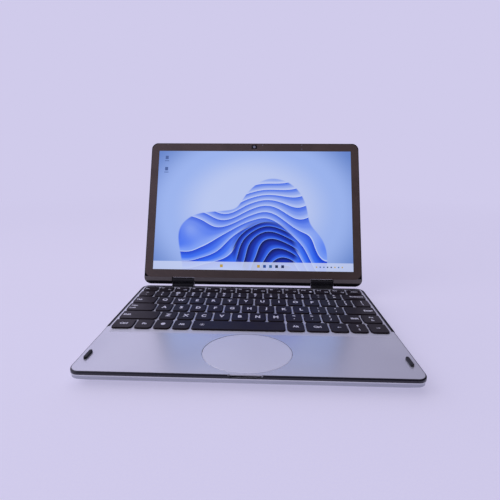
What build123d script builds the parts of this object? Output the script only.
from build123d import *

import os
from math import cos, radians, sin

# A small clamshell laptop computer, standing open.
# Frame: x runs to the right, y from the front edge to the rear, z up.
# The origin is the middle of the flat underside of the bottom cover.

# ---- driving dimensions: base -------------------------------------------------
base_width = 245.0
base_depth = 161.0
base_height = 10.5            # underside to deck
corner_radius = 8.0
underside_inset = 6.0         # how far the flank draws in towards the underside
underside_corner = 5.0
flank_height = 4.6            # height of the drawn-in flank
cover_inset = 0.4             # the bottom cover's wall stands inside the deck's edge
seam_height = 7.2             # the deck and the bottom cover meet here
cover_floor = 1.2
cover_wall = 1.2
deck_thickness = 1.5
deck_wall = 1.4
deck_edge_fillet = 1.2
fit_clearance = 0.2           # parts laid in pockets of the same body

# ---- driving dimensions: keyboard ----------------------------------------------
keyboard_side_margin = 4.0    # side edge of the base to the key field
keyboard_rear_margin = 7.1    # key field to the rear edge of the base
row_pitch = 16.9
number_row_pitch = 14.4
function_row_pitch = 12.7
key_gap = 2.0
key_proud = 1.4               # key tops above the deck
key_skirt = 1.9               # key sides below the deck
key_travel = 1.2
key_wall = 0.9
key_top_fillet = 0.4
key_front_radius = 3.0
key_rear_radius = 1.0
window_clearance = 0.3
smallest_radius = 0.2
plate_thickness = 0.6
plate_drop = 3.9              # deck surface to the top of the keyboard plate
sheet_thickness = 0.2
dome_radius = 2.2
dome_clearance = 0.1          # left above a dome when its key is down
support_ring_wall = 1.4

# Widths in key units; each row adds up to the same width.
row_units = {
    "space_row": [1.2, 1, 1, 1, 5, 1, 1.25, 1, 1, 1.05],
    "shift_row": [2.2] + [1] * 10 + [1.2, 1.1],
    "home_row": [1.7] + [1] * 11 + [1.8],
    "tab_row": [1.45] + [1] * 12 + [1.05],
    "number_row": [1] * 13 + [1.5],
    "function_row": [14.5 / 14] * 14,
}
row_pitches = [row_pitch] * 4 + [number_row_pitch, function_row_pitch]

# Each node: its row, and the first and last key in that row.
key_nodes = {
    "key_left_ctrl": ("space_row", 0, 0),
    "key_fn": ("space_row", 1, 1),
    "key_menu": ("space_row", 2, 2),
    "key_left_alt": ("space_row", 3, 3),
    "key_space_bar": ("space_row", 4, 4),
    "key_right_alt": ("space_row", 5, 5),
    "key_right_ctrl": ("space_row", 6, 6),
    "key_arrow_left": ("space_row", 7, 7),
    "key_arrow_up_down": ("space_row", 8, 8),
    "key_arrow_right": ("space_row", 9, 9),
    "key_left_shift": ("shift_row", 0, 0),
    "keys_shift_row_left": ("shift_row", 1, 5),
    "keys_shift_row_right": ("shift_row", 6, 10),
    "key_right_shift": ("shift_row", 11, 11),
    "key_print": ("shift_row", 12, 12),
    "key_caps_lock": ("home_row", 0, 0),
    "keys_home_row_left": ("home_row", 1, 5),
    "keys_home_row_right": ("home_row", 6, 11),
    "key_enter": ("home_row", 12, 12),
    "key_tab": ("tab_row", 0, 0),
    "keys_tab_row_left": ("tab_row", 1, 5),
    "keys_tab_row_right": ("tab_row", 6, 13),
    "keys_number_row_left": ("number_row", 0, 6),
    "keys_number_row_right": ("number_row", 7, 12),
    "key_backspace": ("number_row", 13, 13),
    "key_escape": ("function_row", 0, 0),
    "keys_function_row_left": ("function_row", 1, 6),
    "keys_function_row_right": ("function_row", 7, 12),
    "key_delete": ("function_row", 13, 13),
}

# ---- driving dimensions: deck fittings --------------------------------------------
trim_width = 1.7
trim_depth = 1.2
trim_start_behind_keys = 4.8  # front end of the trim behind the front of the key field
trim_fillet = 0.5
pad_width = 67.4
pad_front = 2.7               # from the front edge
pad_rear_margin = 4.3         # touchpad to the key field
pad_clearance = 0.25
pad_recess = 0.1
pad_thickness = 1.1
pad_chamfer = 0.3
pad_board_side_margin = 10.7  # board of the touchpad inside the pad's outline
pad_board_end_margin = 8.1
pad_board_thickness = 1.1
pad_tray_thickness = 0.5
pad_tray_drop = 3.2           # deck surface to the top of the tray
pad_post_radius = 1.5
pad_switch_size = 4.0
pad_switch_height = 0.55
bumper_inset = 6.0            # from the side edges
bumper_y = 20.0               # from the front edge
bumper_length = 10.5
bumper_width = 2.6
bumper_pocket = 0.6
bumper_gap = 0.1              # left under the closed lid
scoop_width = 24.0
scoop_depth = 1.8
scoop_height = 2.2

# ---- driving dimensions: lid and hinge -----------------------------------------------
opening_angle = 113.3         # between the deck and the screen, as it stands
closed_gap = 1.8              # deck to glass when shut
lid_thickness = 6.2
axis_behind_base = 3.8        # hinge axis behind the base's rear edge
lid_setback = 1.2             # the shut lid ends this far behind the front edge
chin_below_axis = 4.2
chin_radius = 2.8
lid_edge_radius = 0.9
lid_corner_radius = 8.5
lid_split = 1.0               # cover and frame meet this far in front of the middle
lid_wall = 1.0
rim_width = 0.9
glass_thickness = 1.1
glass_corner_radius = 7.6
panel_side_margin = 7.3       # from the lid's side edges
panel_top_margin = 8.0        # from the lid's top edge
panel_bottom = 8.0            # above the hinge axis
panel_thickness = 2.3
panel_clearance = 0.6
glue_gap = 0.1
camera_below_top = 4.7        # from the lid's top edge
camera_width = 18.0
camera_height = 3.6
camera_thickness = 2.4
camera_lens_radius = 1.4
camera_iris_share = 0.7       # inner lens ring to the lens
antenna_x = 62.0
antenna_length = 44.0
antenna_thickness = 0.8
knuckle_inset = 44.5          # from the side edges to a knuckle's middle
knuckle_width = 24.6
knuckle_radius = 3.5
notch_clearance = 0.5
glass_clearance = 0.3         # knuckle to the glass of the shut lid
glass_shoulder = 1.4          # knuckle's straight front starts this far below the axis
rear_notch_depth = 2.9
knuckle_foot_height = 3.2
knuckle_heel_share = 0.7
knuckle_heel_drop = 1.0       # below the deck
knuckle_side_angle = 12.0     # degrees below the axis where the foot meets the round
pin_radius = 1.2
pin_clearance = 0.05
ear_radius = 2.0
ear_width = 4.6
ear_gap = 0.3
ear_pocket = 0.3
leaf_thickness = 0.8
leaf_height = 30.0
arm_width = 3.6
arm_root = 1.0                # arm starts this far in front of the rear notch
arm_heel = 3.0                # lower end of the arm in front of the axis
arm_bend = 1.0                # arm's back passes this far behind the axis
arm_bend_drop = 1.3           # below the deck
arm_neck_drop = 1.0
arm_neck_share = 0.95
bracket_thickness = 1.0
bracket_inset = 1.0           # inside the knuckle's ends
bracket_depth = 17.0
bracket_height = 4.2

# ---- driving dimensions: inside and underside ------------------------------------------
foot_length = 34.0
foot_width = 7.0
foot_height = 1.2
foot_pocket = 0.5
foot_side_inset = 40.5        # from the side edges to a foot's middle
foot_end_inset = 16.5         # from the front and rear edges
screw_side_inset = 12.5
screw_front_inset = 10.5
screw_before_keys = 6.7       # middle screws in front of the key field
screw_rear_inset = 11.0
screw_beside_pad = 8.3        # inner screws outside the touchpad
screw_head_radius = 1.9
screw_head_height = 0.9
screw_head_recess = 0.15
screw_radius = 0.9
screw_length = 4.2
screw_clearance = 0.05
boss_radius = 2.3
board_height = 3.0
board_thickness = 1.0
board_right_inset = 5.5       # from the right edge
board_rear_inset = 24.5       # from the rear edge
board_depth = 50.0
board_fan_gap = 6.0
board_post_inset = 20.0       # stand-offs from the board's ends
board_post_edge = 4.0         # stand-offs from the board's long edges
chip_height = 1.1
processor_x = -6.0
processor_behind_edge = 28.0  # behind the board's front edge
processor_size = 22.0
memory_size = 11.0
memory_offset = 33.0          # right of the processor
memory_pitch = (15.4, 17.6)
chip_size = (5.5, 7.3)
chip_offset = 66.0            # right of the processor
chip_pitch = (13.2, 17.6)
spreader_margin = 2.0         # spreader past the processor on each side
spreader_thickness = 0.6
pipe_width = 7.0
fin_length = 5.0
fin_thickness = 0.5
fin_pitch = 1.6
fin_count = 15
fan_side_inset = 38.5         # from the left edge to the fan's middle
fan_rear_inset = 49.5
fan_size = 44.0
fan_height = 4.2
fan_bottom = 1.3
fan_wall = 0.6
fan_hub_radius = 7.0
fan_blade_radius = 17.5
fan_blade_count = 19
fan_blade_thickness = 0.6
fan_blade_sweep = 28.0        # degrees
fan_blade_root = 0.5          # blades run this far into the hub
fan_corner = 3.0
fan_mouth_share = 0.6         # outlet to the fan's side
fan_inlet_share = 0.75        # inlet to the blades' radius
fan_spoke_width = 2.0
fan_pin_radius = 1.0
fan_running_gap = 0.5
cell_front_inset = 16.5       # from the front edge
cell_height = 4.4
cell_gap = 2.0
cell_corner = 2.0
cell_edge_radius = 0.8
cell_speaker_gap = 17.0
speaker_side_inset = 30.5     # from the side edges
speaker_front_inset = 32.5
speaker_corner = 2.0
speaker_mouth = (23.8, 12.0)
speaker_mouth_depth = 1.0
speaker_width = 20.0
speaker_depth = 34.0
speaker_height = 4.6
card_x = -30.0
card_board_gap = 2.0
card_cell_gap = 4.0
card_thickness = 0.8
card_chip = (10.5, 15.4)
card_chip_pitch = 14.0
card_post_inset = 2.5
card_length = 42.0
card_width = 22.0
card_height = 2.2
socket_width = 8.9
socket_height = 3.1
socket_depth = 7.4
socket_wall = 0.3
socket_ys = (46.0, 33.0)
socket_z = 4.4
socket_inset = 2.6            # mouth of a socket inside the deck's edge
jack_y = 15.0
jack_z = 3.7
jack_size = 4.6
jack_length = 13.0
jack_nose_radius = 2.2
jack_bore_radius = 1.8
jack_inset = 4.1
jack_nose_length = 3.0
button_before_keys = 16.7     # button's middle in front of the key field
button_length = 9.0
button_height = 1.7
button_z = 5.9
button_depth = 4.0
button_proud = 0.2
button_clearance = 0.15
button_flange = 0.6
vent_slot_length = 9.0
vent_slot_width = 1.3
vent_pitch = 3.0
vent_count = 12
vent_rows = 3
sound_slot_length = 18.0
sound_slot_count = 5
opening_start = 1.0           # side openings start this far inside the cover's wall
socket_back = 1.0             # closed rear end of a socket
tongue_thickness = 0.7
tongue_margin = 1.2           # beside the tongue
tongue_share = 0.7            # tongue to the socket's depth

# ---- worked-out places --------------------------------------------------------------
front_y = -base_depth / 2
rear_y = base_depth / 2
deck_z = base_height
deck_under_z = deck_z - deck_thickness
axis_y = rear_y + axis_behind_base
half_lid = lid_thickness / 2
axis_z = deck_z + closed_gap + half_lid
arm_bend_z = deck_z - arm_bend_drop
arm_neck_z = deck_z - arm_neck_drop
side_angle = radians(knuckle_side_angle)
plate_top_z = deck_z - plate_drop
plate_bottom_z = plate_top_z - plate_thickness
key_bottom_z = deck_z - key_skirt
key_height = key_skirt + key_proud
field_depth = sum(row_pitches)
keyboard_width = base_width - 2 * keyboard_side_margin
keyboard_front = base_depth - keyboard_rear_margin - field_depth
trim_start = keyboard_front + trim_start_behind_keys
field_y = front_y + keyboard_front + field_depth / 2
key_unit = keyboard_width / sum(row_units["space_row"])
pad_depth = keyboard_front - pad_front - pad_rear_margin
pad_y = front_y + pad_front + pad_depth / 2
bumper_x = base_width / 2 - bumper_inset
button_y = front_y + keyboard_front - button_before_keys
pad_board_width = pad_width - 2 * pad_board_side_margin
pad_board_depth = pad_depth - 2 * pad_board_end_margin
board_top_z = board_height + board_thickness
flank_inner_x = base_width / 2 - underside_inset - cover_wall - opening_start
lid_length = base_depth + axis_behind_base - lid_setback
chin_above_axis = knuckle_radius
panel_width = base_width - 2 * panel_side_margin
panel_height = lid_length - panel_bottom - panel_top_margin
camera_middle = lid_length - camera_below_top
knuckle_x = base_width / 2 - knuckle_inset
foot_x = base_width / 2 - foot_side_inset
foot_y = base_depth / 2 - foot_end_inset
screw_x_outer = base_width / 2 - screw_side_inset
screw_x_inner = pad_width / 2 + screw_beside_pad
screw_y_front = front_y + screw_front_inset
screw_y_middle = front_y + keyboard_front - screw_before_keys
screw_y_rear = rear_y - screw_rear_inset
fan_x = fan_side_inset - base_width / 2
fan_y = rear_y - fan_rear_inset
board_left = fan_x + fan_size / 2 + board_fan_gap
board_right = base_width / 2 - board_right_inset
board_rear = rear_y - board_rear_inset
board_front = board_rear - board_depth
board_middle = ((board_left + board_right) / 2, (board_front + board_rear) / 2)
processor_y = board_front + processor_behind_edge
card_y = board_front - card_board_gap - card_width / 2
speaker_x = base_width / 2 - speaker_side_inset
speaker_y = front_y + speaker_front_inset
cell_width = speaker_x - speaker_width / 2 - cell_speaker_gap - cell_gap / 2
cell_front = front_y + cell_front_inset
cell_rear = card_y - card_width / 2 - card_cell_gap
cell_depth = cell_rear - cell_front
cell_y = (cell_front + cell_rear) / 2

os.makedirs("parts", exist_ok=True)


def write(node, name):
    """Label a finished piece and write it to its own file."""
    node.part.label = name
    export_step(node.part, f"parts/{name}.step")


def footprint(inset, radius):
    """Rounded outline of the base, drawn in by an inset."""
    with BuildSketch() as outline:
        RectangleRounded(base_width - 2 * inset, base_depth - 2 * inset, radius)
    return outline.sketch


# ---- keys: places and outlines ---------------------------------------------------------
def key_outline(width, depth, grow=0.0):
    """Plan of a key: small rear corners and large front ones."""
    with BuildSketch() as outline:
        Rectangle(width + 2 * grow, depth + 2 * grow)
        fillet(outline.vertices().group_by(Axis.Y)[0], max(key_front_radius + grow, smallest_radius))
        fillet(outline.vertices().group_by(Axis.Y)[-1], max(key_rear_radius + grow, smallest_radius))
    return outline.sketch


def key_places(row):
    """Centre, width and depth of every key of a row."""
    row_names = list(row_units)
    row_index = row_names.index(row)
    cell_front = front_y + keyboard_front + sum(row_pitches[:row_index])
    depth = row_pitches[row_index] - key_gap
    left = -keyboard_width / 2
    places = []
    for units in row_units[row]:
        cell = units * key_unit
        places.append((left + cell / 2, cell_front + row_pitches[row_index] / 2, cell - key_gap, depth))
        left += cell
    return places


all_keys = {}                 # (width, depth): [(x, y), ...]
for row in row_units:
    for x, y, width, depth in key_places(row):
        all_keys.setdefault((round(width, 3), depth), []).append((x, y))

key_caps = {}
for width, depth in all_keys:
    with BuildPart() as cap:
        with BuildSketch():
            add(key_outline(width, depth))
        extrude(amount=key_height)
        fillet(cap.faces().sort_by(Axis.Z)[-1].edges(), key_top_fillet)
        with BuildSketch():
            add(key_outline(width, depth, -key_wall))
        extrude(amount=key_height - key_wall, mode=Mode.SUBTRACT)
    key_caps[width, depth] = cap.part

for name, (row, first, last) in key_nodes.items():
    with BuildPart() as keys:
        for x, y, width, depth in key_places(row)[first:last + 1]:
            with Locations((x, y, key_bottom_z)):
                add(key_caps[round(width, 3), depth])
    write(keys, name)


# ---- shared places of the knuckles and screws ----------------------------------------------
knuckle_xs = (-knuckle_x, knuckle_x)
deck_screws = [(x, y) for x in (-screw_x_outer, screw_x_outer) for y in (screw_y_front, screw_y_middle)]
deck_screws += [(x, screw_y_front) for x in (-screw_x_inner, screw_x_inner)]
plate_screws = [(x, screw_y_rear) for x in (-screw_x_outer, -screw_x_inner, screw_x_inner, screw_x_outer)]
cover_screws = deck_screws + plate_screws
boss_foot_z = cover_floor
rear_notches = [(x, rear_y, 0) for x in knuckle_xs]
rear_notch_size = (knuckle_width + 2 * fit_clearance, 2 * (rear_notch_depth + fit_clearance))
thread_depth = screw_length + screw_head_recess + screw_head_height

# ---- bottom cover ----------------------------------------------------------------------
with BuildPart() as bottom_cover:
    with BuildSketch():
        add(footprint(underside_inset, underside_corner))
    with BuildSketch(Plane.XY.offset(flank_height)):
        add(footprint(cover_inset, corner_radius - cover_inset))
    loft(ruled=True)
    with BuildSketch(Plane.XY.offset(flank_height)):
        add(footprint(cover_inset, corner_radius - cover_inset))
    extrude(amount=seam_height - flank_height)
    with BuildSketch(Plane.XY.offset(cover_floor)):
        add(footprint(underside_inset + cover_wall, underside_corner - cover_wall))
    with BuildSketch(Plane.XY.offset(flank_height)):
        add(footprint(cover_inset + cover_wall, corner_radius - cover_inset - cover_wall))
    loft(ruled=True, mode=Mode.SUBTRACT)
    with BuildSketch(Plane.XY.offset(flank_height)):
        add(footprint(cover_inset + cover_wall, corner_radius - cover_inset - cover_wall))
    extrude(amount=seam_height - flank_height, mode=Mode.SUBTRACT)
    # bosses that carry the hinge brackets
    with BuildSketch(Plane.XY.offset(cover_floor)):
        for x in knuckle_xs:
            with Locations((x, rear_y - bracket_depth)):
                with GridLocations(knuckle_width / 2, 1, 2, 1):
                    Circle(boss_radius)
    extrude(amount=bracket_height - cover_floor)
    # openings for the knuckles at the rear
    with BuildSketch(Plane.XY.offset(knuckle_foot_height - fit_clearance)):
        with Locations(*rear_notches):
            Rectangle(*rear_notch_size)
    extrude(amount=base_height, mode=Mode.SUBTRACT)
    # foot pockets
    with BuildSketch():
        with GridLocations(2 * foot_x, 2 * foot_y, 2, 2):
            SlotOverall(foot_length + 2 * fit_clearance, foot_width + 2 * fit_clearance)
    extrude(amount=foot_pocket, mode=Mode.SUBTRACT)
    # screw holes with their countersinks
    with Locations(*[Location((x, y, screw_head_recess), (180, 0, 0)) for x, y in cover_screws]):
        CounterSinkHole(screw_radius + screw_clearance, screw_head_radius + screw_clearance, depth=cover_floor)
    with BuildSketch():
        with Locations(*cover_screws):
            Circle(screw_head_radius + screw_clearance)
    extrude(amount=screw_head_recess, mode=Mode.SUBTRACT)
    # air intake under the fan, sound slots under the speakers
    with BuildSketch():
        with Locations((fan_x, fan_y)):
            with GridLocations(vent_pitch, vent_slot_length + 2 * vent_slot_width, vent_count, vent_rows):
                SlotOverall(vent_slot_length, vent_slot_width, rotation=90)
        for side in (-1, 1):
            with Locations((side * speaker_x, speaker_y)):
                with GridLocations(vent_pitch, 1, sound_slot_count, 1):
                    SlotOverall(sound_slot_length, vent_slot_width, rotation=90)
    extrude(amount=cover_floor, mode=Mode.SUBTRACT)
    # side openings: two sockets, a round jack and the button
    with BuildSketch(Plane.YZ.offset(flank_inner_x)):
        for y in socket_ys:
            with Locations((y, socket_z)):
                SlotOverall(socket_width + 2 * fit_clearance, socket_height + 2 * fit_clearance)
        with Locations((jack_y, jack_z)):
            Circle(jack_nose_radius + fit_clearance)
        with Locations((button_y, button_z)):
            SlotOverall(button_length + 2 * button_clearance, button_height + 2 * button_clearance)
    extrude(amount=base_width, mode=Mode.SUBTRACT)
write(bottom_cover, "bottom_cover")

# ---- deck -------------------------------------------------------------------------------
with BuildPart() as deck_block:
    with BuildSketch(Plane.XY.offset(seam_height)):
        add(footprint(0, corner_radius))
    extrude(amount=deck_z - seam_height)
    fillet(deck_block.faces().sort_by(Axis.Z)[-1].edges(), deck_edge_fillet)

with BuildSketch() as trim_outline:
    add(footprint(0, corner_radius))
    add(footprint(trim_width, corner_radius - trim_width), mode=Mode.SUBTRACT)
    with Locations((0, front_y + trim_start / 2)):
        Rectangle(base_width, trim_start, mode=Mode.SUBTRACT)
    with Locations(*rear_notches):
        Rectangle(*rear_notch_size, mode=Mode.SUBTRACT)

with BuildPart() as top_case:
    add(deck_block.part)
    with BuildSketch(Plane.XY.offset(seam_height)):
        add(footprint(deck_wall, corner_radius - deck_wall))
    extrude(amount=deck_under_z - seam_height, mode=Mode.SUBTRACT)
    # ring that the keyboard plate hangs from
    with BuildSketch(Plane.XY.offset(plate_top_z)):
        with Locations((0, field_y)):
            Rectangle(keyboard_width + 2 * support_ring_wall, field_depth + 2 * support_ring_wall)
            Rectangle(keyboard_width, field_depth, mode=Mode.SUBTRACT)
    extrude(amount=deck_under_z - plate_top_z)
    # screw bosses and the posts of the touchpad tray
    with BuildSketch(Plane.XY.offset(boss_foot_z)):
        with Locations(*deck_screws):
            Circle(boss_radius)
    extrude(amount=deck_under_z - boss_foot_z)
    with BuildSketch(Plane.XY.offset(boss_foot_z)):
        with Locations(*deck_screws):
            Circle(screw_radius + screw_clearance)
    extrude(amount=screw_length, mode=Mode.SUBTRACT)
    with BuildSketch(Plane.XY.offset(deck_z - pad_tray_drop)):
        with Locations((0, pad_y)):
            with GridLocations(pad_width - 2 * pad_post_radius, pad_depth - 2 * pad_post_radius, 2, 2):
                Circle(pad_post_radius)
    extrude(amount=deck_under_z - deck_z + pad_tray_drop)
    # windows of the keys
    with BuildSketch(Plane.XY.offset(deck_under_z)):
        for (width, depth), places in all_keys.items():
            with Locations(*places):
                add(key_outline(width, depth, window_clearance))
    extrude(amount=deck_thickness, mode=Mode.SUBTRACT)
    # opening of the touchpad
    with BuildSketch(Plane.XY.offset(deck_under_z)):
        with Locations((0, pad_y)):
            Ellipse(pad_width / 2 + pad_clearance, pad_depth / 2 + pad_clearance)
    extrude(amount=deck_thickness, mode=Mode.SUBTRACT)
    # pockets of the bumpers
    with BuildSketch(Plane.XY.offset(deck_z - bumper_pocket)):
        with Locations((-bumper_x, front_y + bumper_y), (bumper_x, front_y + bumper_y)):
            SlotOverall(bumper_length + fit_clearance, bumper_width + fit_clearance, rotation=90)
    extrude(amount=bumper_pocket, mode=Mode.SUBTRACT)
    # ledge of the keyboard trim, rear notches of the knuckles
    with BuildSketch(Plane.XY.offset(deck_z - trim_depth)):
        add(trim_outline.sketch)
    extrude(amount=trim_depth, mode=Mode.SUBTRACT)
    with BuildSketch(Plane.XY.offset(plate_bottom_z)):
        with Locations(*rear_notches):
            Rectangle(*rear_notch_size)
    extrude(amount=base_height, mode=Mode.SUBTRACT)
    # finger scoop in the front edge
    with BuildSketch(Plane.XZ.offset(-front_y - scoop_depth)):
        with Locations((0, deck_z)):
            SlotOverall(scoop_width, 2 * scoop_height)
    extrude(amount=scoop_depth, mode=Mode.SUBTRACT)
write(top_case, "top_case")

with BuildPart() as keyboard_trim:
    with BuildSketch(Plane.XY.offset(deck_z - trim_depth)):
        add(footprint(0, corner_radius))
    extrude(amount=trim_depth)
    fillet(keyboard_trim.faces().sort_by(Axis.Z)[-1].edges(), trim_fillet)
    with BuildSketch(Plane.XY.offset(deck_z - trim_depth)):
        add(trim_outline.sketch)
    extrude(amount=trim_depth, mode=Mode.INTERSECT)
write(keyboard_trim, "keyboard_trim")

with BuildPart() as lid_bumpers:
    with BuildSketch(Plane.XY.offset(deck_z - bumper_pocket)):
        with Locations((-bumper_x, front_y + bumper_y), (bumper_x, front_y + bumper_y)):
            SlotOverall(bumper_length, bumper_width, rotation=90)
    extrude(amount=bumper_pocket + closed_gap - bumper_gap)
    fillet(lid_bumpers.faces().filter_by(Plane.XY).group_by(Axis.Z)[-1].edges(), bumper_width / 6)
write(lid_bumpers, "lid_bumpers")

# ---- keyboard plate and dome sheet --------------------------------------------------------
with BuildPart() as keyboard_plate:
    with BuildSketch(Plane.XY.offset(plate_bottom_z)):
        with Locations((0, field_y)):
            Rectangle(keyboard_width + 2 * support_ring_wall, field_depth + 2 * support_ring_wall)
    extrude(amount=plate_thickness)
    with BuildSketch(Plane.XY.offset(boss_foot_z)):
        with Locations(*plate_screws):
            Circle(boss_radius)
    extrude(amount=plate_bottom_z - boss_foot_z)
    with BuildSketch(Plane.XY.offset(boss_foot_z)):
        with Locations(*plate_screws):
            Circle(screw_radius + screw_clearance)
    extrude(amount=screw_length, mode=Mode.SUBTRACT)
write(keyboard_plate, "keyboard_plate")

sheet_top_z = plate_top_z + sheet_thickness
dome_top_z = key_bottom_z - key_travel - dome_clearance
with BuildPart() as dome_sheet:
    with BuildSketch(Plane.XY.offset(plate_top_z)):
        with Locations((0, field_y)):
            Rectangle(keyboard_width - 2 * fit_clearance, field_depth - 2 * fit_clearance)
    extrude(amount=sheet_thickness)
    with BuildSketch(Plane.XY.offset(sheet_top_z)):
        with Locations(*[place for places in all_keys.values() for place in places]):
            Circle(dome_radius)
    extrude(amount=dome_top_z - sheet_top_z)
write(dome_sheet, "dome_sheet")

# ---- touchpad ------------------------------------------------------------------------------
pad_top_z = deck_z - pad_recess
pad_bottom_z = pad_top_z - pad_thickness
tray_top_z = deck_z - pad_tray_drop
with BuildPart() as touchpad:
    with BuildSketch(Plane.XY.offset(pad_bottom_z)):
        with Locations((0, pad_y)):
            Ellipse(pad_width / 2, pad_depth / 2)
    extrude(amount=pad_thickness)
    chamfer(touchpad.faces().sort_by(Axis.Z)[-1].edges(), pad_chamfer)
write(touchpad, "touchpad")

with BuildPart() as touchpad_board:
    with BuildSketch(Plane.XY.offset(pad_bottom_z - pad_board_thickness)):
        with Locations((0, pad_y)):
            RectangleRounded(pad_board_width, pad_board_depth, pad_post_radius)
    extrude(amount=pad_board_thickness)
write(touchpad_board, "touchpad_board")

with BuildPart() as touchpad_tray:
    with BuildSketch(Plane.XY.offset(tray_top_z - pad_tray_thickness)):
        with Locations((0, pad_y)):
            RectangleRounded(pad_width, pad_depth, pad_post_radius)
            Rectangle(pad_width / 2, pad_depth / 3, mode=Mode.SUBTRACT)
    extrude(amount=pad_tray_thickness)
    with BuildSketch(Plane.XY.offset(tray_top_z)):
        with Locations((0, pad_y - pad_board_depth / 2 + pad_switch_size / 2)):
            Rectangle(pad_switch_size, pad_switch_size)
    extrude(amount=pad_switch_height)
write(touchpad_tray, "touchpad_tray")

# ---- rubber feet and screws -------------------------------------------------------------------
with BuildPart() as rubber_feet:
    with BuildSketch(Plane.XY.offset(-foot_height)):
        with GridLocations(2 * foot_x, 2 * foot_y, 2, 2):
            SlotOverall(foot_length, foot_width)
    extrude(amount=foot_height + foot_pocket)
    fillet(rubber_feet.faces().filter_by(Plane.XY).group_by(Axis.Z)[0].edges(), foot_height / 3)
write(rubber_feet, "rubber_feet")

with BuildPart() as screw:
    with BuildSketch(Plane.XZ):
        with BuildLine():
            Polyline(
                (0, screw_head_recess),
                (screw_head_radius, screw_head_recess),
                (screw_radius, screw_head_recess + screw_head_height),
                (screw_radius, thread_depth),
                (0, thread_depth),
                close=True,
            )
        make_face()
    revolve(axis=Axis.Z)
    with BuildSketch(Plane.XY.offset(screw_head_recess)):
        Rectangle(screw_head_radius, screw_radius / 2)
        Rectangle(screw_radius / 2, screw_head_radius)
    extrude(amount=screw_head_height / 2, mode=Mode.SUBTRACT)
with BuildPart() as bottom_screws:
    with Locations(*cover_screws):
        add(screw.part)
write(bottom_screws, "bottom_screws")

# ---- main board and what stands on it ---------------------------------------------------------
socket_left = base_width / 2 - socket_inset - socket_depth
jack_left = base_width / 2 - jack_inset - jack_length
with BuildPart() as motherboard:
    with BuildSketch(Plane.XY.offset(board_height)):
        with Locations(board_middle):
            Rectangle(board_right - board_left, board_depth)
        with Locations(*[(board_right, y) for y in socket_ys]):
            Rectangle(
                2 * (board_right - socket_left + fit_clearance),
                socket_width + 2 * fit_clearance,
                mode=Mode.SUBTRACT,
            )
        with Locations((board_right, jack_y)):
            Rectangle(
                2 * (board_right - jack_left + fit_clearance),
                jack_size + 2 * fit_clearance,
                mode=Mode.SUBTRACT,
            )
    extrude(amount=board_thickness)
    with BuildSketch(Plane.XY.offset(board_top_z)):
        with Locations((processor_x, processor_y)):
            Rectangle(processor_size, processor_size)
        with Locations((processor_x + memory_offset, processor_y)):
            with GridLocations(*memory_pitch, 2, 2):
                Rectangle(memory_size, memory_size)
        with Locations((processor_x + chip_offset, processor_y)):
            with GridLocations(*chip_pitch, 3, 2):
                Rectangle(*chip_size)
    extrude(amount=chip_height)
    # stand-offs on the bottom cover
    with BuildSketch(Plane.XY.offset(cover_floor)):
        with Locations(board_middle):
            with GridLocations(
                board_right - board_left - 2 * board_post_inset,
                board_depth - 2 * board_post_edge,
                2,
                2,
            ):
                Circle(boss_radius)
    extrude(amount=board_height - cover_floor)
write(motherboard, "motherboard")

spreader_z = board_top_z + chip_height
spreader_size = processor_size + 2 * spreader_margin
pipe_left = fan_x + fan_size / 2 + fan_running_gap
fin_place = (pipe_left + fin_length / 2, processor_y)
with BuildPart() as heat_spreader:
    with BuildSketch(Plane.XY.offset(spreader_z)):
        with Locations((processor_x, processor_y)):
            Rectangle(spreader_size, spreader_size)
        with Locations(((pipe_left + processor_x) / 2, processor_y)):
            Rectangle(processor_x - pipe_left, pipe_width)
        with Locations(fin_place):
            Rectangle(fin_length, fin_count * fin_pitch)
    extrude(amount=spreader_thickness)
    with BuildSketch(Plane.XY.offset(fan_bottom)):
        with Locations(fin_place):
            with GridLocations(1, fin_pitch, 1, fin_count):
                Rectangle(fin_length, fin_thickness)
    extrude(amount=spreader_z + spreader_thickness - fan_bottom)
write(heat_spreader, "heat_spreader")

# ---- fan --------------------------------------------------------------------------------------
fan_cavity_radius = fan_blade_radius + 2 * fan_running_gap
rotor_bottom_z = fan_bottom + fan_wall + fan_running_gap
rotor_height = fan_height - 2 * fan_wall - 2 * fan_running_gap
blade_length = fan_blade_radius - fan_hub_radius + 2 * fan_blade_root
with BuildPart() as fan_housing:
    with BuildSketch(Plane.XY.offset(fan_bottom)):
        with Locations((fan_x, fan_y)):
            RectangleRounded(fan_size, fan_size, fan_corner)
    extrude(amount=fan_height)
    with BuildSketch(Plane.XY.offset(fan_bottom + fan_wall)):
        with Locations((fan_x, fan_y)):
            Circle(fan_cavity_radius)
        with Locations((fan_x + fan_size / 2, fan_y)):
            Rectangle(fan_size, fan_size * fan_mouth_share)
    extrude(amount=fan_height - 2 * fan_wall, mode=Mode.SUBTRACT)
    with BuildSketch(Plane.XY.offset(fan_bottom)):
        with Locations((fan_x, fan_y)):
            Circle(fan_blade_radius * fan_inlet_share)
            Circle(fan_hub_radius, mode=Mode.SUBTRACT)
            Rectangle(2 * fan_blade_radius, fan_spoke_width, mode=Mode.SUBTRACT)
    extrude(amount=fan_wall, mode=Mode.SUBTRACT)
    with BuildSketch(Plane.XY.offset(fan_bottom + fan_wall)):
        with Locations((fan_x, fan_y)):
            Circle(fan_pin_radius)
    extrude(amount=fan_height - 2 * fan_wall)
write(fan_housing, "fan_housing")

with BuildPart() as fan_rotor:
    with BuildSketch(Plane.XY.offset(rotor_bottom_z)):
        with Locations((fan_x, fan_y)):
            Circle(fan_hub_radius)
            with PolarLocations((fan_hub_radius + fan_blade_radius) / 2 - fan_blade_root, fan_blade_count):
                Rectangle(blade_length, fan_blade_thickness, rotation=fan_blade_sweep)
            Circle(fan_pin_radius + pin_clearance, mode=Mode.SUBTRACT)
    extrude(amount=rotor_height)
write(fan_rotor, "fan_rotor")

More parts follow.
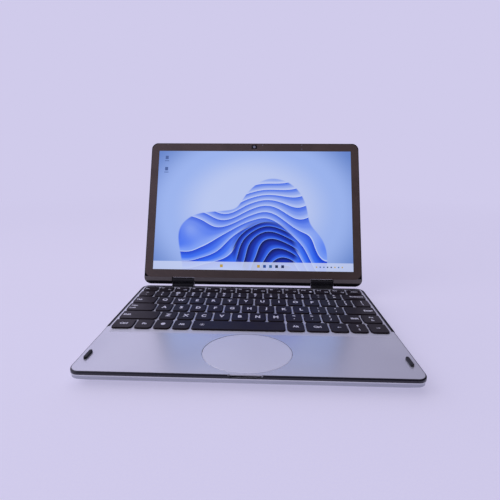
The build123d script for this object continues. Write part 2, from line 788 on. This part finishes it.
# ---- battery, speakers, storage card ----------------------------------------------------------
with BuildPart() as battery_cells:
    with BuildSketch(Plane.XY.offset(cover_floor)):
        with Locations((0, cell_y)):
            with GridLocations(cell_width + cell_gap, 1, 2, 1):
                RectangleRounded(cell_width, cell_depth, cell_corner)
    extrude(amount=cell_height)
    fillet(battery_cells.faces().filter_by(Plane.XY).group_by(Axis.Z)[-1].edges(), cell_edge_radius)
write(battery_cells, "battery_cells")

with BuildPart() as speakers:
    with BuildSketch(Plane.XY.offset(cover_floor)):
        with Locations((-speaker_x, speaker_y), (speaker_x, speaker_y)):
            RectangleRounded(speaker_width, speaker_depth, speaker_corner)
    extrude(amount=speaker_height)
    with BuildSketch(Plane.XY.offset(cover_floor)):
        with Locations((-speaker_x, speaker_y), (speaker_x, speaker_y)):
            SlotOverall(*speaker_mouth, rotation=90)
    extrude(amount=speaker_mouth_depth, mode=Mode.SUBTRACT)
write(speakers, "speakers")

with BuildPart() as storage_card:
    with BuildSketch(Plane.XY.offset(cover_floor + card_thickness)):
        with Locations((card_x, card_y)):
            Rectangle(card_length, card_width)
    extrude(amount=card_thickness)
    with BuildSketch(Plane.XY.offset(cover_floor + 2 * card_thickness)):
        with Locations((card_x, card_y)):
            with GridLocations(card_chip_pitch, 1, 2, 1):
                Rectangle(*card_chip)
    extrude(amount=card_height - card_thickness)
    with BuildSketch(Plane.XY.offset(cover_floor)):
        with Locations((card_x, card_y)):
            with GridLocations(card_length - 2 * card_post_inset, card_width - 2 * card_post_inset, 2, 2):
                Circle(boss_radius / 2)
    extrude(amount=card_thickness)
write(storage_card, "storage_card")

# ---- sockets, jack and button on the right side ------------------------------------------------
with BuildPart() as usb_sockets:
    with BuildSketch(Plane.YZ.offset(socket_left)):
        with Locations(*[(y, socket_z) for y in socket_ys]):
            SlotOverall(socket_width, socket_height)
    extrude(amount=socket_depth)
    with BuildSketch(Plane.YZ.offset(socket_left + socket_back)):
        with Locations(*[(y, socket_z) for y in socket_ys]):
            SlotOverall(socket_width - 2 * socket_wall, socket_height - 2 * socket_wall)
    extrude(amount=socket_depth, mode=Mode.SUBTRACT)
    with BuildSketch(Plane.YZ.offset(socket_left + socket_back)):
        with Locations(*[(y, socket_z) for y in socket_ys]):
            Rectangle(socket_width - 2 * tongue_margin, tongue_thickness)
    extrude(amount=socket_depth * tongue_share)
write(usb_sockets, "usb_sockets")

with BuildPart() as audio_jack:
    with BuildSketch(Plane.YZ.offset(jack_left)):
        with Locations((jack_y, jack_z)):
            Rectangle(jack_size, jack_size)
    extrude(amount=jack_length - jack_nose_length)
    with BuildSketch(Plane.YZ.offset(jack_left)):
        with Locations((jack_y, jack_z)):
            Circle(jack_nose_radius)
    extrude(amount=jack_length)
    with BuildSketch(Plane.YZ.offset(jack_left + socket_back)):
        with Locations((jack_y, jack_z)):
            Circle(jack_bore_radius)
    extrude(amount=jack_length, mode=Mode.SUBTRACT)
write(audio_jack, "audio_jack")

button_right = base_width / 2 - cover_inset + button_proud
flange_right = base_width / 2 - cover_inset - cover_wall - button_clearance
with BuildPart() as power_button:
    with BuildSketch(Plane.YZ.offset(button_right - button_depth)):
        with Locations((button_y, button_z)):
            SlotOverall(button_length, button_height)
    extrude(amount=button_depth)
    with BuildSketch(Plane.YZ.offset(flange_right - button_flange)):
        with Locations((button_y, button_z)):
            SlotOverall(button_length + 2 * button_flange, button_height + button_flange)
    extrude(amount=button_flange)
write(power_button, "power_button")

# ---- hinge: knuckles, pins and brackets of the base -------------------------------------------
notch_front_y = rear_y - rear_notch_depth
foot_rear_y = axis_y - chin_below_axis / 2
shut_glass_z = deck_z + closed_gap
knuckle_front_y = axis_y - chin_above_axis + glass_clearance
arm_root_y = notch_front_y - arm_root
arm_reach = ear_radius + fit_clearance


def across(x_middle, width):
    """Side-view plane at the left end of a stretch of the given width."""
    return Plane.YZ.offset(x_middle - width / 2)


with BuildPart() as hinge_knuckles:
    for x in knuckle_xs:
        with BuildSketch(across(x, knuckle_width)):
            with Locations((axis_y, axis_z)):
                Circle(knuckle_radius)
            with BuildLine():
                Polyline(
                    (notch_front_y, knuckle_foot_height),
                    (foot_rear_y, knuckle_foot_height),
                    (axis_y + knuckle_radius * knuckle_heel_share, deck_z - knuckle_heel_drop),
                    (axis_y + knuckle_radius * cos(side_angle), axis_z - knuckle_radius * sin(side_angle)),
                    (knuckle_front_y, axis_z - glass_shoulder),
                    (knuckle_front_y, shut_glass_z - glass_clearance),
                    (rear_y - fit_clearance, deck_z + closed_gap / 2),
                    (notch_front_y, deck_z - fit_clearance),
                    close=True,
                )
            make_face()
            with Locations((axis_y, axis_z)):
                Circle(pin_radius + pin_clearance, mode=Mode.SUBTRACT)
        extrude(amount=knuckle_width)
        # slot of the bracket's arm
        with BuildSketch(across(x, arm_width + 2 * fit_clearance)):
            with BuildLine():
                Polyline(
                    (arm_root_y, bracket_height - fit_clearance),
                    (axis_y - arm_heel + 2 * fit_clearance, bracket_height - fit_clearance),
                    (axis_y + arm_bend + fit_clearance, arm_bend_z - fit_clearance),
                    (axis_y + arm_reach, axis_z - ear_radius / 2),
                    (axis_y + arm_reach, axis_z + arm_reach),
                    (axis_y - arm_reach, axis_z + arm_reach),
                    (axis_y - arm_reach, arm_neck_z + 2 * fit_clearance),
                    (arm_root_y, arm_neck_z - bracket_thickness),
                    close=True,
                )
            make_face()
        extrude(amount=arm_width + 2 * fit_clearance, mode=Mode.SUBTRACT)
write(hinge_knuckles, "hinge_knuckles")

pin_length = knuckle_width + 2 * (ear_gap + ear_width)
with BuildPart() as hinge_pins:
    for x in knuckle_xs:
        with BuildSketch(across(x, pin_length)):
            with Locations((axis_y, axis_z)):
                Circle(pin_radius)
        extrude(amount=pin_length)
write(hinge_pins, "hinge_pins")

with BuildPart() as hinge_brackets:
    for x in knuckle_xs:
        with BuildSketch(Plane.XY.offset(bracket_height)):
            with Locations((x, notch_front_y - fit_clearance - bracket_depth / 2)):
                Rectangle(knuckle_width - 2 * bracket_inset, bracket_depth)
        extrude(amount=bracket_thickness)
        with BuildSketch(across(x, arm_width)):
            with Locations((axis_y, axis_z)):
                Circle(ear_radius)
            with BuildLine():
                Polyline(
                    (arm_root_y, bracket_height),
                    (axis_y - arm_heel, bracket_height),
                    (axis_y + arm_bend, arm_bend_z),
                    (axis_y + ear_radius * arm_neck_share, axis_z),
                    (axis_y - ear_radius * arm_neck_share, axis_z),
                    (axis_y - ear_radius * arm_neck_share, arm_neck_z),
                    (arm_root_y, bracket_height + bracket_thickness),
                    close=True,
                )
            make_face()
            with Locations((axis_y, axis_z)):
                Circle(pin_radius + pin_clearance, mode=Mode.SUBTRACT)
        extrude(amount=arm_width)
write(hinge_brackets, "hinge_brackets")

# ---- lid: everything is drawn on planes parallel to the screen --------------------------------
lean = radians(opening_angle - 90.0)
lid_plane = Plane(origin=(0, axis_y, axis_z), x_dir=(1, 0, 0), z_dir=(0, -cos(lean), sin(lean)))
lid_width = base_width
lid_height = lid_length + chin_below_axis
lid_middle = (lid_length - chin_below_axis) / 2
glass_height = lid_length - chin_above_axis - rim_width
glass_middle = chin_above_axis + glass_height / 2
panel_middle = panel_bottom + panel_height / 2
notch_width = knuckle_width + 2 * notch_clearance
notch_top = knuckle_radius + notch_clearance
ear_offset = knuckle_width / 2 + ear_gap + ear_width / 2
ear_places = [(x + side * ear_offset) for x in knuckle_xs for side in (-1, 1)]
pocket_half = ear_radius + ear_pocket


def lid_at(distance):
    """Plane parallel to the screen, a distance in front of the lid's middle."""
    return lid_plane.offset(distance)


def lid_side(x_middle, width):
    """Side-view plane of the lid: x runs up the lid, y towards its back."""
    start = lid_plane.from_local_coords((x_middle - width / 2, 0, 0))
    return Plane(origin=start, x_dir=lid_plane.y_dir, z_dir=(1, 0, 0))


def lid_end(height):
    """Plane across the lid at a height above the hinge axis, facing its top edge."""
    start = lid_plane.from_local_coords((0, height, 0))
    return Plane(origin=start, x_dir=(1, 0, 0), z_dir=lid_plane.y_dir)


with BuildPart() as lid_block:
    with BuildSketch(lid_at(-half_lid)):
        with Locations((0, lid_middle)):
            RectangleRounded(lid_width, lid_height, lid_corner_radius)
    extrude(amount=lid_thickness)
    with BuildSketch(lid_side(0, lid_width)) as side_profile:
        with Locations((lid_middle, 0)):
            Rectangle(lid_height, lid_thickness)
        fillet(side_profile.vertices().group_by(Axis.X)[0], chin_radius)
        fillet(side_profile.vertices().group_by(Axis.X)[-1], lid_edge_radius)
    extrude(amount=lid_width, mode=Mode.INTERSECT)
    with BuildSketch(lid_end(-chin_below_axis)):
        RectangleRounded(lid_width, lid_thickness, lid_edge_radius)
    extrude(amount=lid_height, mode=Mode.INTERSECT)

cavity_bottom = notch_top + lid_wall
cavity_top = lid_length - lid_wall
with BuildPart() as lid_cover:
    add(lid_block.part)
    split(bisect_by=lid_at(lid_split), keep=Keep.BOTTOM)
    with BuildSketch(lid_at(-half_lid + lid_wall)):
        with Locations((0, (cavity_bottom + cavity_top) / 2)):
            RectangleRounded(lid_width - 2 * lid_wall, cavity_top - cavity_bottom, lid_corner_radius - lid_wall)
    extrude(amount=lid_thickness, mode=Mode.SUBTRACT)
    with BuildSketch(lid_at(-half_lid)):
        with Locations(*[(x, notch_top - lid_height / 2) for x in knuckle_xs]):
            Rectangle(notch_width, lid_height)
    extrude(amount=lid_thickness, mode=Mode.SUBTRACT)
    with BuildSketch(lid_at(-pocket_half)):
        with Locations(*[(x, (cavity_bottom + lid_wall - pocket_half) / 2) for x in ear_places]):
            Rectangle(ear_width + 2 * ear_gap, cavity_bottom + lid_wall + pocket_half)
    extrude(amount=lid_thickness, mode=Mode.SUBTRACT)
write(lid_cover, "lid_cover")

glass_back = half_lid - glass_thickness
with BuildPart() as lid_frame:
    add(lid_block.part)
    split(bisect_by=lid_at(lid_split), keep=Keep.TOP)
    # seat of the glass, flush with the front
    with BuildSketch(lid_at(glass_back)):
        with Locations((0, glass_middle)):
            RectangleRounded(lid_width - 2 * rim_width, glass_height, glass_corner_radius)
    extrude(amount=glass_thickness, mode=Mode.SUBTRACT)
    # window of the display panel
    with BuildSketch(lid_at(lid_split)):
        with Locations((0, panel_middle)):
            Rectangle(panel_width + 2 * panel_clearance, panel_height + 2 * panel_clearance)
        with Locations((0, camera_middle)):
            Rectangle(camera_width + 2 * fit_clearance, camera_height + 2 * fit_clearance)
    extrude(amount=lid_thickness, mode=Mode.SUBTRACT)
    with BuildSketch(lid_at(-half_lid)):
        with Locations(*[(x, notch_top - lid_height / 2) for x in knuckle_xs]):
            Rectangle(notch_width, lid_height)
    extrude(amount=lid_thickness, mode=Mode.SUBTRACT)
    with BuildSketch(lid_at(lid_split)):
        with Locations(*[(x, (chin_above_axis - pocket_half) / 2) for x in ear_places]):
            Rectangle(ear_width + 2 * ear_gap, chin_above_axis + pocket_half)
    extrude(amount=pocket_half - lid_split, mode=Mode.SUBTRACT)
write(lid_frame, "lid_frame")

with BuildPart() as screen_glass:
    with BuildSketch(lid_at(glass_back)):
        with Locations((0, glass_middle)):
            RectangleRounded(lid_width - 2 * rim_width, glass_height, glass_corner_radius)
    extrude(amount=glass_thickness)
write(screen_glass, "screen_glass")

with BuildPart() as display_panel:
    with BuildSketch(lid_at(glass_back - glue_gap - panel_thickness)):
        with Locations((0, panel_middle)):
            Rectangle(panel_width, panel_height)
    extrude(amount=panel_thickness)
write(display_panel, "display_panel")

with BuildPart() as camera_module:
    with BuildSketch(lid_at(glass_back - glue_gap - camera_thickness)):
        with Locations((0, camera_middle)):
            Rectangle(camera_width, camera_height)
    extrude(amount=camera_thickness)
    with BuildSketch(lid_at(glass_back - glue_gap)):
        with Locations((0, camera_middle)):
            Circle(camera_lens_radius)
    extrude(amount=-camera_thickness / 2, mode=Mode.SUBTRACT)
    with BuildSketch(lid_at(glass_back - glue_gap - camera_thickness / 2)):
        with Locations((0, camera_middle)):
            Circle(camera_lens_radius * camera_iris_share)
    extrude(amount=camera_thickness / 3)
write(camera_module, "camera_module")

with BuildPart() as antennas:
    with BuildSketch(lid_at(-half_lid + lid_wall)):
        with Locations((0, camera_middle)):
            with GridLocations(2 * antenna_x, 1, 2, 1):
                Rectangle(antenna_length, camera_height)
    extrude(amount=antenna_thickness)
write(antennas, "antennas")

with BuildPart() as hinge_leaves:
    for x in knuckle_xs:
        with BuildSketch(lid_at(-ear_radius)):
            with Locations((x, (cavity_bottom + leaf_height) / 2)):
                Rectangle(2 * ear_offset + ear_width, leaf_height - cavity_bottom)
        extrude(amount=leaf_thickness)
    for x in ear_places:
        with BuildSketch(lid_side(x, ear_width)):
            Circle(ear_radius)
            with Locations((cavity_bottom / 2, (leaf_thickness - 2 * ear_radius) / 2)):
                Rectangle(cavity_bottom + 1, leaf_thickness)
            Circle(pin_radius + pin_clearance, mode=Mode.SUBTRACT)
        extrude(amount=ear_width)
write(hinge_leaves, "hinge_leaves")
